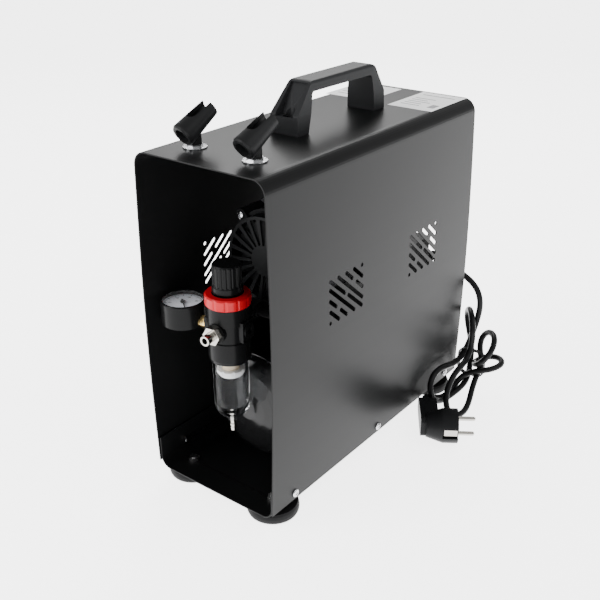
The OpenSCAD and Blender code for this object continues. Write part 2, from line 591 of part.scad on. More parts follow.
module cord_hank() color([0.05, 0.05, 0.05]) union() {
  translate([0, 0, 1]) linear_extrude(height = 48)
    polygon(rounded([[81, 100], [108, 97], [130, 104], [131, 130], [118, 160], [131, 176], [133, 200], [108, 205], [81, 200]], [6, 6, 10, 10, 8, 8, 8, 8, 6], 4));
  translate([0, 206, 0]) rotate([90, 0, 0]) linear_extrude(height = 30)
    polygon(rounded([[82, 10], [82, 50], [69, 62], [69, 102], [90, 105], [127, 74], [131, 40], [129, 10]], [4, 4, 8, 8, 8, 8, 8, 6], 4));
}
module cord_tie() color([0.03, 0.03, 0.03]) translate([97, 176, 36]) rotate([90, 0, 0]) difference() {
  linear_extrude(height = 5) polygon(rounded([[-17, -17], [17, -17], [17, 17], [-17, 17]], [9, 9, 9, 9], 5));
  translate([0, 0, -1]) linear_extrude(height = 7) polygon(rounded([[-15.6, -15.6], [15.6, -15.6], [15.6, 15.6], [-15.6, 15.6]], [8, 8, 8, 8], 5));
}
module plug_body() color([0.07, 0.07, 0.07]) translate(plug_o) rotate([0, 0, plug_a]) difference() {
  union() {
    xcyl(19, -16, 0);
    translate([-16, 0, 0]) rotate([0, -90, 0]) cylinder(r1 = 19, r2 = 13, h = 18);
    translate([-40, 0, 0]) rotate([90, 0, 90]) linear_extrude(height = 20)
      polygon(rounded([[-8, -12], [34, -10], [46, -7], [46, 7], [34, 10], [-8, 12]], [6, 6, 3, 3, 6, 6], 5));
    translate([-30, 0, 0]) ycone(6, 4.6, 46, 56);
  }
  for (s = [-1, 1]) translate([-17, s > 0 ? 14.5 : -24.5, -5.5]) cube([20, 10, 11]);
  for (z = [-9.5, 9.5]) translate([0, 0, z]) xcyl(2.2, -10, 1);
  translate([-30, 0, 0]) ycyl(cord_d / 2, 50, 57);
}
module plug_pins() color([0.8, 0.8, 0.82]) translate(plug_o) rotate([0, 0, plug_a]) {
  for (z = [-9.5, 9.5]) translate([0, 0, z]) { xcyl(2.2, -10, 0.5); xcyl(2.4, 0, 17.6); translate([17.6, 0, 0]) rotate([0, 90, 0]) cylinder(r1 = 2.4, r2 = 1.4, h = 1.4); }
  for (s = [-1, 1]) translate([-15, s > 0 ? 14.5 : -15.3, -3.5]) cube([14, 0.8, 7]);
}

// ---- Filter and regulator ----
module at_reg() translate([reg_x, reg_y, 0]) rotate([0, 0, reg_turn]) children();
module reg_body() color([0.12, 0.12, 0.125]) at_reg() difference() {
  union() {
    translate([0, 0, 190]) cylinder(r = 20.7, h = 17);
    translate([0, 0, 171]) cylinder(r = 19.5, h = 20);
    translate([0, 0, 154]) cylinder(r = 20.6, h = 18);
    translate([0, 0, 150]) cylinder(r1 = 19.6, r2 = 20.6, h = 4);
    translate([0, 0, 207]) cylinder(r = 15, h = 11);
    translate([0, 0, 218]) cylinder(r = 10.5, h = 14);
    translate([-9, 14, port_z - 10]) cube([18, 8, 20]);
    ycyl_at(port_z, 9.5, -22, -14);
    translate([14, -9, port_z - 10]) cube([8, 18, 20]);
    translate([0, 0, port_z]) xcyl(7.5, 20, 23.5);
    translate([-22, -9, gauge_z - 9]) cube([8, 18, 20]);
  }
  translate([0, 0, 149]) cylinder(r = bowl_r + 0.05, h = 11);
  translate([0, 0, port_z]) rotate([0, 90, 0]) translate([0, 0, 21]) cylinder(r = 3.4, h = 4, $fn = 6);
  translate([0, 0, 159]) cylinder(r = 14, h = 12);
  translate([0, 0, 174.5]) cylinder(r = 12, h = 31.5);
  translate([0, 0, 200]) cylinder(r = 4.08, h = 40);
  for (a = [0, 180]) rotate([0, 0, a]) ycyl_at(port_z, 4.8, 14, 24);
  translate([0, 0, gauge_z]) xcyl(4.8, -24, -14);
}
module ycyl_at(z, r, y0, y1) translate([0, 0, z]) ycyl(r, y0, y1);
module reg_spring() color([0.7, 0.7, 0.72]) at_reg()
  tube([for (i = [0:84]) let (a = i * 20, z = 176 + 14.4 * max(0, min(1, (i - 9) / 66))) [7.6 * cos(a), 7.6 * sin(a), z]], 1, 8);
module lock_ring() color([0.78, 0.05, 0.08]) at_reg() difference() {
  rotate_extrude($fn = 72) polygon([[15, 207], [21, 207], [21.8, 208], [21.8, 216.5], [20.4, 218], [15, 218]]);
  for (a = [0:30:359]) rotate([0, 0, a]) translate([24.2, 0, 206]) cylinder(r = 3, h = 14, $fn = 24);
}
module adjusting_screw() color([0.6, 0.6, 0.62]) at_reg() {
  translate([0, 0, 200.4]) cylinder(r = 4, h = 33);
  translate([0, 0, 192]) cylinder(r = 9, h = 8.4);
  translate([0, 0, 233]) cylinder(r = 4, h = 6, $fn = 6);
}
module knob() color([0.1, 0.1, 0.1]) at_reg() difference() {
  rotate_extrude($fn = 72) polygon([[0, 219], [13.6, 219], [14.6, 220], [14.6, 225], [13.9, 226], [13.9, 245], [12.8, 247], [0, 247]]);
  translate([0, 0, 218]) cylinder(r = 11, h = 15.5);
  translate([0, 0, 230]) cylinder(r = 4.4, h = 12.5, $fn = 6);
  translate([0, 0, 230]) cylinder(r = 4.5, h = 4);
  for (a = [0:18:359]) rotate([0, 0, a]) translate([14.8, 0, 226.5]) cylinder(r = 1.5, h = 22, $fn = 16);
}
module bowl() color([0.85, 0.9, 0.95, 0.4]) at_reg() difference() {
  rotate_extrude($fn = 72) polygon([[0, 80], [4.5, 80], [4.5, 83], [9, 86.5], [10, 86.5], [12.6, 90], [13.6, 90], [bowl_r - 1.2, 94.5], [bowl_r, 97], [bowl_r, 160], [0, 160]]);
  rotate_extrude($fn = 72) polygon([[0, 87], [4, 87], [7, 90.5], [bowl_r - 3.6, 100], [bowl_r - 2.6, 106], [bowl_r - 2.3, 161], [0, 161]]);
  translate([0, 0, 79]) cylinder(r = 2.7, h = 10);
}
module filter_element() color([0.85, 0.78, 0.66]) at_reg() difference() {
  translate([0, 0, 139]) cylinder(r = 8.5, h = 24);
  translate([0, 0, 138]) cylinder(r = 5, h = 26);
}
module baffle() color([0.93, 0.93, 0.92]) at_reg() difference() {
  union() {
    translate([0, 0, 130]) cylinder(r = 4, h = 36);
    translate([0, 0, 132]) cylinder(r1 = 11, r2 = 13.6, h = 4);
    translate([0, 0, 136]) cylinder(r = 13.6, h = 3);
  }
  for (a = [0:45:359]) rotate([0, 0, a]) translate([12, -1, 130]) cube([4, 2, 12]);
  translate([0, 0, 129]) cylinder(r = 2, h = 38);
}
module bowl_drain() color([0.78, 0.76, 0.72]) at_reg() difference() {
  union() {
    translate([0, 0, 68]) cylinder(r = 2.6, h = 22);
    translate([0, 0, 87.2]) cylinder(r1 = 3.8, r2 = 3, h = 3);
    translate([0, 0, 74]) cylinder(r = 3.4, h = 1.4);
    translate([0, 0, 70.6]) cylinder(r = 3, h = 1);
  }
  translate([0, 0, 67]) cylinder(r = 1.2, h = 20);
}

// ---- Gauge ----
module at_gauge() at_reg() translate([-gauge_l, 0, -1.5]) children();
module gauge_case() color([0.06, 0.06, 0.065]) at_gauge() difference() {
  rotate_extrude($fn = 72) polygon([[0, 175], [gauge_r - 1.5, 175], [gauge_r - 0.3, 176.2], [gauge_r - 0.3, 193], [gauge_r, 194], [gauge_r, 199], [gauge_r - 0.8, 200], [0, 200]]);
  translate([0, 0, 194.4]) cylinder(r = gauge_r - 1.7, h = 7);
  translate([0, 0, 178]) cylinder(r = 15, h = 20);
  translate([0, 0, gauge_z + 1.5]) xcyl(5, 12, 30);
}
module gauge_dial() color([0.95, 0.95, 0.95]) at_gauge() difference() {
  translate([0, 0, 194.4]) cylinder(r = gauge_r - 1.75, h = 0.8);
  translate([0, 0, 193]) cylinder(r = 1.05, h = 4);
}
pointer_rest = -45;              // pointer direction at zero pressure, degrees from the case's +X
module gauge_pointer() color([0.05, 0.05, 0.05]) at_gauge() {
  translate([0, 0, 188]) cylinder(r = 1, h = 9);
  translate([0, 0, 196]) cylinder(r = 2.6, h = 1.2);
  translate([0, 0, 196.2]) rotate([0, 0, pointer_rest]) linear_extrude(height = 0.5)
    polygon([[-6, -1.1], [0, -0.9], [14, -0.35], [14, 0.35], [0, 0.9], [-6, 1.1]]);
}
module gauge_lens() color([0.9, 0.95, 1, 0.3]) at_gauge() translate([0, 0, 198]) cylinder(r = gauge_r - 1.75, h = 1.4);
module gauge_stem() color([0.8, 0.64, 0.3]) at_reg() translate([0, 0, gauge_z]) {
  xcyl(4.8, -23, -15);
  translate([-31.3, 0, 0]) rotate([45, 0, 0]) rotate([0, 90, 0]) translate([-5, -5, 0]) cube([10, 10, 9.3]);
  xcyl(4.9, -39.5, -31);
}
module outlet_nipple() color([0.78, 0.77, 0.74]) at_reg() translate([0, 0, port_z]) rotate([0, 0, 180]) difference() {
  union() {
    ycyl(4.8, 15, 22);
    translate([0, 22, 0]) rotate([-90, 0, 0]) hex(16, 7);
    ycyl(outlet_r, 29, 38.5);
  }
  ycyl(3, 14, 40);
}

cover();
base_tray();
pan_screws();
feet();
hex_bolts();
handle();
handle_screws();
holder_nuts();
labels();
holder_left();
holder_right();
tank();
tank_feet();
tank_drain();
pump_bracket();
isolators();
crankcase();
crankcase_cover();
cylinder_node();  // cylinder
cylinder_head();
head_bolts();
stator();
end_bell();
bearings();
fan_guard();
intake_filter();
motor_shaft();
rotor();
fan();
conrod();
piston();
air_hoses();
air_fittings();
check_valve();
pressure_switch();
safety_valve();
safety_ring();
switch_box();
rocker();
cord_gland();
cord_tube();
cord_hank();
cord_tie();
plug_body();
plug_pins();
reg_body();
reg_spring();
lock_ring();
adjusting_screw();
knob();
bowl();
filter_element();
baffle();
bowl_drain();
gauge_case();
gauge_dial();
gauge_pointer();
gauge_lens();
gauge_stem();
outlet_nipple();
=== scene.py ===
import bpy
import bmesh
import math
import random
from mathutils import Matrix, Vector


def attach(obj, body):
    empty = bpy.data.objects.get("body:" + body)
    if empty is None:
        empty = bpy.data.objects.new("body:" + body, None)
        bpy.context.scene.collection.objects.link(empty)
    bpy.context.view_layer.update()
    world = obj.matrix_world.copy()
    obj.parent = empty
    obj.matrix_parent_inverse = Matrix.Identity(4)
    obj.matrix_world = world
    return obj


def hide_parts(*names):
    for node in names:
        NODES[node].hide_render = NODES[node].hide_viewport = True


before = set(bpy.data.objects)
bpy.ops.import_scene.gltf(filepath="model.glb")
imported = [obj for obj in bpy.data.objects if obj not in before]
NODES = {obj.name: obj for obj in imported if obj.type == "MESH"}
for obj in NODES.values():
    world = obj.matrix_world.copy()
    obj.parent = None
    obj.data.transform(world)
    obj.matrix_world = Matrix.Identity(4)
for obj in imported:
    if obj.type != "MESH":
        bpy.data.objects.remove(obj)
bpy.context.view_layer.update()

# ---------------------------------------------------------------- camera
right = Vector((0.79084, 0.61200, -0.00475)).normalized()
up = Vector((-0.26207, 0.34565, 0.90102))
up = (up - right * up.dot(right)).normalized()
back = right.cross(up)
cam_data = bpy.data.cameras.new("camera")
cam_data.sensor_width = 36
cam_data.lens = 53.34
cam_data.clip_start = 0.01
cam_data.clip_end = 100
cam = bpy.data.objects.new("camera", cam_data)
m = Matrix((right, up, back)).transposed().to_4x4()
m.translation = Vector((0.50335, -0.68175, 0.56429))
cam.matrix_world = m
bpy.context.scene.collection.objects.link(cam)
bpy.context.scene.camera = cam


# ---------------------------------------------------------------- materials
def new_mat(name):
    mat = bpy.data.materials.new(name)
    mat.use_nodes = True
    nt = mat.node_tree
    nt.nodes.clear()
    out = nt.nodes.new("ShaderNodeOutputMaterial")
    bsdf = nt.nodes.new("ShaderNodeBsdfPrincipled")
    nt.links.new(bsdf.outputs[0], out.inputs[0])
    return mat, nt, bsdf


def node(nt, kind, **values):
    n = nt.nodes.new(kind)
    for k, v in values.items():
        if k in n.inputs:
            n.inputs[k].default_value = v
        else:
            setattr(n, k, v)
    return n


def ramp(nt, fac, stops):
    r = nt.nodes.new("ShaderNodeValToRGB")
    while len(r.color_ramp.elements) < len(stops):
        r.color_ramp.elements.new(0.5)
    for e, (p, c) in zip(r.color_ramp.elements, stops):
        e.position = p
        e.color = (c[0], c[1], c[2], 1)
    nt.links.new(fac, r.inputs[0])
    return r.outputs[0]


def mix_rgb(nt, fac, a, b):
    mx = nt.nodes.new("ShaderNodeMix")
    mx.data_type = "RGBA"
    for sock, v in ((mx.inputs[0], fac), (mx.inputs[6], a), (mx.inputs[7], b)):
        if isinstance(v, bpy.types.NodeSocket):
            nt.links.new(v, sock)
        elif isinstance(v, (int, float)):
            sock.default_value = v
        else:
            sock.default_value = (*v, 1)
    return mx.outputs[2]


def math_node(nt, op, a, b=0.0):
    n = nt.nodes.new("ShaderNodeMath")
    n.operation = op
    for sock, v in ((n.inputs[0], a), (n.inputs[1], b)):
        if isinstance(v, bpy.types.NodeSocket):
            nt.links.new(v, sock)
        else:
            sock.default_value = v
    return n.outputs[0]


def surface(name, color, rough, metal=0.0, grain=900.0, bump=0.15, bump_d=0.0002, vary=0.12,
            rough_vary=0.08, coat=0.0, coat_rough=0.1, spec=0.09, large=14.0, wear=0.0, stretch=None):
    """A procedural finish: fine grain in the bump, soft large-scale changes of tone and gloss."""
    mat, nt, bsdf = new_mat(name)
    tc = node(nt, "ShaderNodeTexCoord")
    src = tc.outputs["Object"]
    if stretch:
        mp = node(nt, "ShaderNodeMapping")
        mp.inputs["Scale"].default_value = stretch
        nt.links.new(src, mp.inputs[0])
        grain_src = mp.outputs[0]
    else:
        grain_src = src
    big = node(nt, "ShaderNodeTexNoise", Scale=large, Detail=3.0, Roughness=0.55)
    nt.links.new(src, big.inputs["Vector"])
    fine = node(nt, "ShaderNodeTexNoise", Scale=grain, Detail=2.0, Roughness=0.6)
    nt.links.new(grain_src, fine.inputs["Vector"])
    lo = tuple(max(0, c * (1 - vary)) for c in color)
    hi = tuple(min(1, c * (1 + vary)) for c in color)
    col = ramp(nt, big.outputs["Fac"], [(0.3, lo), (0.7, hi)])
    if wear > 0:
        speck = node(nt, "ShaderNodeTexNoise", Scale=large * 9, Detail=6.0, Roughness=0.7)
        nt.links.new(src, speck.inputs["Vector"])
        mask = ramp(nt, speck.outputs["Fac"], [(0.62, (0, 0, 0)), (0.72, (1, 1, 1))])
        col = mix_rgb(nt, math_node(nt, "MULTIPLY", mask, wear), col, tuple(min(1, c * 1.8 + 0.02) for c in color))
    nt.links.new(col, bsdf.inputs["Base Color"])
    rr = node(nt, "ShaderNodeMapRange")
    rr.inputs["To Min"].default_value = max(0.02, rough - rough_vary)
    rr.inputs["To Max"].default_value = min(1.0, rough + rough_vary)
    nt.links.new(big.outputs["Fac"], rr.inputs["Value"])
    nt.links.new(rr.outputs[0], bsdf.inputs["Roughness"])
    bsdf.inputs["Metallic"].default_value = metal
    bsdf.inputs["Specular IOR Level"].default_value = spec
    bsdf.inputs["Coat Weight"].default_value = coat
    bsdf.inputs["Coat Roughness"].default_value = coat_rough
    if bump > 0:
        b = node(nt, "ShaderNodeBump", Strength=bump, Distance=bump_d)
        nt.links.new(fine.outputs["Fac"], b.inputs["Height"])
        nt.links.new(b.outputs[0], bsdf.inputs["Normal"])
    return mat


def clear_mat(name, tint, rough=0.03, ior=1.5, trans=1.0, bump=0.03):
    mat, nt, bsdf = new_mat(name)
    tc = node(nt, "ShaderNodeTexCoord")
    n = node(nt, "ShaderNodeTexNoise", Scale=120.0, Detail=2.0)
    nt.links.new(tc.outputs["Object"], n.inputs["Vector"])
    b = node(nt, "ShaderNodeBump", Strength=bump, Distance=0.0003)
    nt.links.new(n.outputs["Fac"], b.inputs["Height"])
    nt.links.new(b.outputs[0], bsdf.inputs["Normal"])
    bsdf.inputs["Base Color"].default_value = (*tint, 1)
    bsdf.inputs["Roughness"].default_value = rough
    bsdf.inputs["IOR"].default_value = ior
    bsdf.inputs["Transmission Weight"].default_value = trans
    return mat


POWDER = surface("powder_coat", (0.0045, 0.0046, 0.0048), 0.33, grain=1500, bump=0.06, vary=0.10, rough_vary=0.03, large=9, spec=0.085)
TRAY = surface("powder_coat_tray", (0.004, 0.0041, 0.0043), 0.42, grain=1500, bump=0.12, vary=0.12, rough_vary=0.06, wear=0.15)
PLASTIC = surface("black_plastic", (0.009, 0.0093, 0.0097), 0.42, grain=1300, bump=0.22, vary=0.15, rough_vary=0.07)
HANDLE = surface("handle_plastic", (0.016, 0.0165, 0.0175), 0.42, grain=1100, bump=0.25, vary=0.12, rough_vary=0.06)
BODY = surface("regulator_plastic", (0.005, 0.0052, 0.0054), 0.26, grain=900, bump=0.10, vary=0.12, rough_vary=0.05, spec=0.07)
RED = surface("red_plastic", (0.42, 0.004, 0.010), 0.22, grain=700, bump=0.08, vary=0.08, coat=0.15, coat_rough=0.12)
RUBBER = surface("rubber", (0.007, 0.007, 0.0073), 0.55, grain=900, bump=0.3, vary=0.2)
CORD = surface("cord_sheath", (0.006, 0.006, 0.0064), 0.30, grain=600, bump=0.18, vary=0.15, rough_vary=0.06)
PLUG = surface("plug_rubber", (0.008, 0.0083, 0.0088), 0.40, grain=900, bump=0.2, vary=0.15)
CHROME = surface("chrome", (0.50, 0.505, 0.515), 0.14, metal=1.0, grain=400, bump=0.05, vary=0.04, rough_vary=0.05)
ZINC = surface("zinc_plate", (0.45, 0.45, 0.45), 0.30, metal=1.0, grain=700, bump=0.12, vary=0.10, rough_vary=0.08)
DARK_STEEL = surface("black_oxide", (0.06, 0.06, 0.063), 0.35, metal=1.0, grain=800, bump=0.1)
BRASS = surface("brass", (0.78, 0.56, 0.23), 0.24, metal=1.0, grain=600, bump=0.08, vary=0.10, rough_vary=0.07)
NICKEL = surface("nickel", (0.42, 0.405, 0.375), 0.16, metal=1.0, grain=600, bump=0.06, vary=0.06)
TANK = surface("tank_paint", (0.005, 0.0051, 0.0054), 0.16, grain=300, bump=0.05, vary=0.1, rough_vary=0.05, coat=0.2, coat_rough=0.12)
CAST_DARK = surface("cast_dark", (0.014, 0.0145, 0.015), 0.50, grain=500, bump=0.35, bump_d=0.0004, vary=0.2)
ALLOY = surface("cast_alloy", (0.58, 0.59, 0.60), 0.42, metal=1.0, grain=500, bump=0.3, bump_d=0.0003, vary=0.1)
STEEL = surface("bright_steel", (0.66, 0.66, 0.68), 0.22, metal=1.0, grain=500, bump=0.05, stretch=(1, 12, 1))
LAMINATION = surface("laminations", (0.30, 0.30, 0.32), 0.45, metal=1.0, grain=260, bump=0.5, bump_d=0.0004, stretch=(0.1, 6, 0.1))
BEIGE = surface("filter_beige", (0.74, 0.62, 0.45), 0.8, grain=700, bump=0.5, bump_d=0.0004, vary=0.1)
WHITE = surface("white_plastic", (0.86, 0.86, 0.85), 0.4, grain=600, bump=0.05, vary=0.03)
FAN = surface("guard_plastic", (0.007, 0.0073, 0.0077), 0.38, grain=900, bump=0.15, vary=0.15)
INK = surface("dial_ink", (0.01, 0.01, 0.011), 0.5, grain=900, bump=0.02)
RED_INK = surface("dial_red", (0.55, 0.02, 0.02), 0.5, grain=900, bump=0.02)
DIAL = surface("dial_white", (0.86, 0.90, 0.97), 0.45, grain=900, bump=0.02, vary=0.02)
CLEAR = clear_mat("clear_polycarbonate", (0.86, 0.87, 0.88), rough=0.02, ior=1.12)
LENS = clear_mat("lens", (1, 1, 1), rough=0.03, ior=1.45, trans=0.0, bump=0.02)
for n_ in LENS.node_tree.nodes:
    if n_.type == "BSDF_PRINCIPLED":
        n_.inputs["Alpha"].default_value = 0.05


def label_mat():
    """Blank sticker: white, with plain grey bars and a box where the print would be. No lettering."""
    mat, nt, bsdf = new_mat("label_white")
    tc = node(nt, "ShaderNodeTexCoord")
    sep = node(nt, "ShaderNodeSeparateXYZ")
    nt.links.new(tc.outputs["Object"], sep.inputs[0])
    n = node(nt, "ShaderNodeTexNoise", Scale=30.0, Detail=2.0)
    nt.links.new(tc.outputs["Object"], n.inputs["Vector"])
    paper = ramp(nt, n.outputs["Fac"], [(0.3, (0.80, 0.80, 0.80)), (0.7, (0.86, 0.86, 0.86))])
    x, y = sep.outputs[0], sep.outputs[1]

    def band(v, lo, hi):
        return math_node(nt, "MULTIPLY", math_node(nt, "GREATER_THAN", v, lo), math_node(nt, "LESS_THAN", v, hi))

    bars = None
    for (x0, x1, y0, y1) in BARS:
        b = math_node(nt, "MULTIPLY", band(x, x0, x1), band(y, y0, y1))
        bars = b if bars is None else math_node(nt, "MAXIMUM", bars, b)
    nt.links.new(mix_rgb(nt, bars, paper, (0.16, 0.16, 0.17)), bsdf.inputs["Base Color"])
    bsdf.inputs["Roughness"].default_value = 0.45
    return mat


rnd = random.Random(7)
BARS = []
for row in range(5):
    yy = 0.112 + row * 0.0075
    BARS.append((0.020, 0.020 + rnd.uniform(0.018, 0.030), yy, yy + 0.0022))
BARS += [(0.052, 0.060, 0.110, 0.124), (0.020, 0.058, 0.158, 0.1605)]
for row in range(4):
    yy = 0.114 + row * 0.0095
    BARS.append((-0.062, -0.062 + rnd.uniform(0.025, 0.040), yy, yy + 0.0024))
LABEL = label_mat()

MATERIAL_OF = {
    "cover": POWDER, "base_tray": TRAY, "pan_screws": CHROME, "feet": RUBBER, "hex_bolts": ZINC,
    "handle": HANDLE, "handle_screws": DARK_STEEL, "holder_nuts": CHROME, "labels": LABEL,
    "holder_left": PLASTIC, "holder_right": PLASTIC, "tank": TANK, "tank_feet": TRAY, "tank_drain": BRASS,
    "pump_bracket": TRAY, "isolators": RUBBER, "crankcase": CAST_DARK, "crankcase_cover": CAST_DARK,
    "cylinder": ALLOY, "cylinder_head": ALLOY, "head_bolts": ZINC, "stator": LAMINATION,
    "end_bell": CAST_DARK, "bearings": STEEL, "fan_guard": FAN, "intake_filter": PLASTIC,
    "motor_shaft": STEEL, "rotor": LAMINATION, "fan": PLASTIC, "conrod": ALLOY, "piston": ALLOY,
    "air_hoses": RUBBER, "air_fittings": PLASTIC, "check_valve": BRASS, "pressure_switch": PLASTIC,
    "safety_valve": BRASS, "safety_ring": STEEL, "switch_box": PLASTIC, "rocker": RED,
    "cord_gland": RUBBER, "cord_tube": CORD, "cord_hank": CORD, "cord_tie": PLASTIC,
    "plug_body": PLUG, "plug_pins": NICKEL, "reg_body": BODY, "reg_spring": STEEL, "lock_ring": RED,
    "adjusting_screw": STEEL, "knob": BODY, "bowl": CLEAR, "filter_element": BEIGE, "baffle": WHITE,
    "bowl_drain": NICKEL, "gauge_case": BODY, "gauge_dial": DIAL, "gauge_pointer": INK,
    "gauge_lens": LENS, "gauge_stem": BRASS, "outlet_nipple": NICKEL,
}
for name, obj in NODES.items():
    obj.data.materials.clear()
    obj.data.materials.append(MATERIAL_OF[name])

# ---------------------------------------------------------------- mains cord
CORD_POINTS = [
    (0.052, 0.146, 0.173), (0.052, 0.1529, 0.1719), (0.052, 0.1594, 0.1694), (0.0522, 0.1649, 0.1658),
    (0.05292, 0.17, 0.16129), (0.05437, 0.17455, 0.1564), (0.05681, 0.17856, 0.15147), (0.06036, 0.18188, 0.14683),
    (0.06501, 0.18444, 0.14267), (0.07039, 0.18612, 0.13901), (0.07614, 0.18704, 0.13553), (0.08176, 0.18733, 0.13182),
    (0.08686, 0.18721, 0.12741), (0.09098, 0.18686, 0.12217), (0.09386, 0.18644, 0.11613), (0.09542, 0.18606, 0.1096),
    (0.09583, 0.18576, 0.1028), (0.09537, 0.18553, 0.09596), (0.09436, 0.18534, 0.08912), (0.09307, 0.18512, 0.08233),
    (0.09168, 0.18474, 0.07554), (0.09033, 0.18401, 0.06881), (0.08909, 0.18269, 0.06216), (0.088, 0.18048, 0.05583),
    (0.08706, 0.17711, 0.05008), (0.08628, 0.17251, 0.04534), (0.08565, 0.16681, 0.042), (0.08515, 0.16038, 0.04027),
    (0.08474, 0.15365, 0.03999), (0.0844, 0.14686, 0.04082), (0.08412, 0.14013, 0.04225), (0.08387, 0.13338, 0.04385),
    (0.08366, 0.12661, 0.04519), (0.08352, 0.11975, 0.0459), (0.08355, 0.11295, 0.04562), (0.08388, 0.10643, 0.044),
    (0.08464, 0.10072, 0.04082), (0.08591, 0.09651, 0.03607), (0.08757, 0.09458, 0.03025), (0.08927, 0.09533, 0.02415),
    (0.09059, 0.09851, 0.01869), (0.09164, 0.10355, 0.01454), (0.09256, 0.10969, 0.01195), (0.0935, 0.11638, 0.01074),
    (0.09452, 0.12324, 0.01058), (0.09566, 0.13014, 0.01111), (0.09682, 0.13701, 0.01204), (0.09787, 0.14389, 0.01323),
    (0.09857, 0.15072, 0.01466), (0.09865, 0.15749, 0.0165), (0.09783, 0.16394, 0.01907), (0.09628, 0.17004, 0.02218),
    (0.09426, 0.17569, 0.02575), (0.09208, 0.18089, 0.02986), (0.09024, 0.18548, 0.03464), (0.08831, 0.18954, 0.03982),
    (0.08605, 0.19306, 0.04516), (0.08338, 0.19611, 0.05055), (0.08045, 0.19869, 0.05593), (0.0775, 0.20084, 0.06141),
    (0.07494, 0.20242, 0.06708), (0.07316, 0.20318, 0.07309), (0.07259, 0.20277, 0.07923), (0.07348, 0.20092, 0.08505),
    (0.07571, 0.1977, 0.08983), (0.07891, 0.19339, 0.09314), (0.08263, 0.18848, 0.09472), (0.08649, 0.18339, 0.0945),
    (0.09011, 0.17863, 0.0925), (0.09321, 0.17462, 0.08885), (0.09551, 0.17176, 0.0839), (0.09697, 0.17007, 0.07813),
    (0.0977, 0.16919, 0.07203), (0.098, 0.16838, 0.06585), (0.09814, 0.16681, 0.05986), (0.09829, 0.16385, 0.05444),
    (0.09854, 0.15933, 0.05019), (0.09888, 0.15363, 0.04744), (0.09925, 0.1473, 0.04595), (0.09959, 0.14075, 0.04509),
    (0.09988, 0.13414, 0.04415), (0.10013, 0.12765, 0.04261), (0.10042, 0.12142, 0.04017), (0.10085, 0.11563, 0.03686),
    (0.10154, 0.11033, 0.03276), (0.10262, 0.10563, 0.02813), (0.10424, 0.10167, 0.02305), (0.10647, 0.09883, 0.01772),
    (0.10939, 0.09773, 0.01239), (0.1129, 0.09913, 0.00784), (0.11624, 0.10307, 0.00491), (0.11857, 0.10865, 0.0038),
    (0.11966, 0.11497, 0.00385), (0.11961, 0.12146, 0.00479), (0.11869, 0.12787, 0.00637), (0.11719, 0.13409, 0.00836),
    (0.11536, 0.14016, 0.01066), (0.11349, 0.14611, 0.0132), (0.11173, 0.15202, 0.01599), (0.11028, 0.15788, 0.01902),
    (0.10917, 0.16372, 0.02232), (0.10835, 0.16943, 0.02587), (0.10757, 0.17501, 0.02969), (0.10633, 0.18032, 0.03363),
    (0.10383, 0.18526, 0.03754), (0.10046, 0.18982, 0.0412), (0.09732, 0.19398, 0.04539), (0.09551, 0.19743, 0.05049),
    (0.09582, 0.1996, 0.05636), (0.0984, 0.19994, 0.06206), (0.10259, 0.19841, 0.06668), (0.10752, 0.19534, 0.0698),
    (0.11245, 0.19113, 0.07137), (0.11692, 0.18611, 0.0714), (0.12042, 0.18066, 0.06988), (0.12255, 0.17519, 0.06682),
    (0.12297, 0.17034, 0.06243), (0.1216, 0.16667, 0.05714), (0.1187, 0.16464, 0.05158), (0.11469, 0.16441, 0.04623),
    (0.11016, 0.16595, 0.04153), (0.10558, 0.16916, 0.0377), (0.10158, 0.17379, 0.03493), (0.0988, 0.17964, 0.03322),
    (0.09817, 0.18614, 0.03255), (0.10023, 0.1923, 0.03321), (0.10446, 0.1971, 0.03453), (0.11021, 0.19987, 0.0359),
    (0.11658, 0.20016, 0.03694), (0.12249, 0.19786, 0.03747), (0.1268, 0.19327, 0.0375), (0.12853, 0.18728, 0.03718),
    (0.12759, 0.18097, 0.03664), (0.12494, 0.17518, 0.03595), (0.121, 0.17032, 0.03505), (0.1161, 0.16672, 0.03384),
    (0.11063, 0.16425, 0.03217), (0.1051, 0.16233, 0.02997), (0.09987, 0.16019, 0.0271), (0.09553, 0.15727, 0.02355),
    (0.09253, 0.15342, 0.01931), (0.09074, 0.14876, 0.0151), (0.08965, 0.14335, 0.01144), (0.0888, 0.13735, 0.00881),
    (0.08785, 0.13095, 0.00749), (0.08668, 0.12446, 0.00767), (0.0853, 0.11813, 0.00922), (0.0838, 0.1121, 0.01178),
    (0.0822, 0.10627, 0.01484), (0.0805, 0.1004, 0.0178), (0.0828, 0.0942, 0.02),
]
CORD_D = 0.007


def catmull(pts, n):
    out = []
    for i in range(len(pts) - 1):
        a, b, c, d = (Vector(pts[max(i - 1, 0)]), Vector(pts[i]), Vector(pts[i + 1]), Vector(pts[min(i + 2, len(pts) - 1)]))
        for k in range(n):
            t = k / n
            out.append(0.5 * (2 * b + (c - a) * t + (2 * a - 5 * b + 4 * c - d) * t * t + (3 * b - a - 3 * c + d) * t ** 3))
    out.append(Vector(pts[-1]))
    return out


cord_line = catmull(CORD_POINTS, 3)
cv = bpy.data.curves.new("mains_cord", "CURVE")
cv.dimensions = "3D"
cv.bevel_depth = CORD_D / 2
cv.bevel_resolution = 5
cv.use_fill_caps = True
sp = cv.splines.new("POLY")
sp.points.add(len(cord_line) - 1)
for q, v in zip(sp.points, cord_line):
    q.co = (*v, 1)
cord = bpy.data.objects.new("mains_cord", cv)
cv.materials.append(CORD)
bpy.context.scene.collection.objects.link(cord)
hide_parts("cord_tube", "cord_hank")
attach(cord, "housing")

